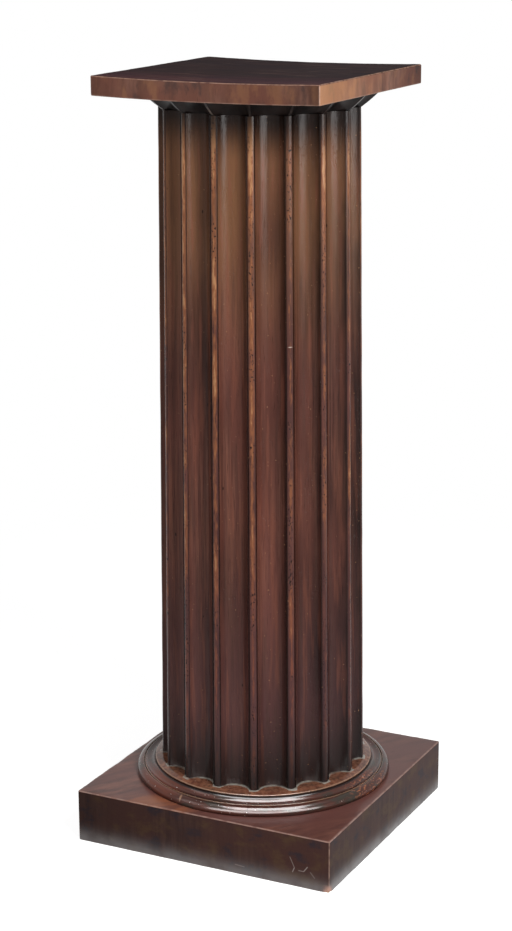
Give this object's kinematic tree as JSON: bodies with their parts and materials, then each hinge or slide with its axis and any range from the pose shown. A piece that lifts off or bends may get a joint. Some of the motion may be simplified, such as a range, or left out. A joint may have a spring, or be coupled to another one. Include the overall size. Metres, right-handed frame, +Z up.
{
  "type": "pedestal column stand",
  "caption": "Tall pedestal: fluted and beaded tapering column on a turned base ring and square plinth, with a flared fluted neck and a flat square top to stand an object on.",
  "frame": {"origin": "on the floor below the middle of the square plinth", "axes": "+Z up along the column; the front of the square plinth faces -Y and its right side +X"},
  "size_m": [0.398, 0.398, 1.09],
  "materials": {
    "shaft_mahogany": "French-polished mahogany, red-brown, golden on the worn beads",
    "neck_mahogany": "French-polished mahogany, darkened",
    "turned_mahogany": "French-polished turned mahogany, high gloss",
    "top_veneer": "French-polished mahogany veneer, nearly black brown",
    "plinth_veneer": "French-polished mahogany veneer, figured",
    "top_banding": "polished mahogany, grain across the edge",
    "plinth_banding": "polished mahogany, grain upright",
    "carcass_pine": "raw softwood",
    "former_pine": "raw softwood",
    "block_pine": "raw softwood, sawn"
  },
  "bodies": {
    "root": {"base_ring_segment_1": "turned_mahogany", "base_ring_segment_2": "turned_mahogany", "corner_block_1": "block_pine", "corner_block_2": "block_pine", "corner_block_3": "block_pine", "corner_block_4": "block_pine", "former_bottom": "former_pine", "former_middle": "former_pine", "former_top": "former_pine", "glue_blocks": "block_pine", "neck": "neck_mahogany", "plinth_banding_back": "plinth_banding", "plinth_banding_front": "plinth_banding", "plinth_banding_left": "plinth_banding", "plinth_banding_right": "plinth_banding", "plinth_board": "carcass_pine", "plinth_side_back": "carcass_pine", "plinth_side_front": "carcass_pine", "plinth_side_left": "carcass_pine", "plinth_side_right": "carcass_pine", "plinth_veneer": "plinth_veneer", "stave_01": "shaft_mahogany", "stave_02": "shaft_mahogany", "stave_03": "shaft_mahogany", "stave_04": "shaft_mahogany", "stave_05": "shaft_mahogany", "stave_06": "shaft_mahogany", "stave_07": "shaft_mahogany", "stave_08": "shaft_mahogany", "stave_09": "shaft_mahogany", "stave_10": "shaft_mahogany", "stave_11": "shaft_mahogany", "stave_12": "shaft_mahogany", "stave_13": "shaft_mahogany", "stave_14": "shaft_mahogany", "stave_15": "shaft_mahogany", "stave_16": "shaft_mahogany", "stave_17": "shaft_mahogany", "top_banding_back": "top_banding", "top_banding_front": "top_banding", "top_banding_left": "top_banding", "top_banding_right": "top_banding", "top_core": "carcass_pine", "top_veneer": "top_veneer"}
  },
  "joints": []
}
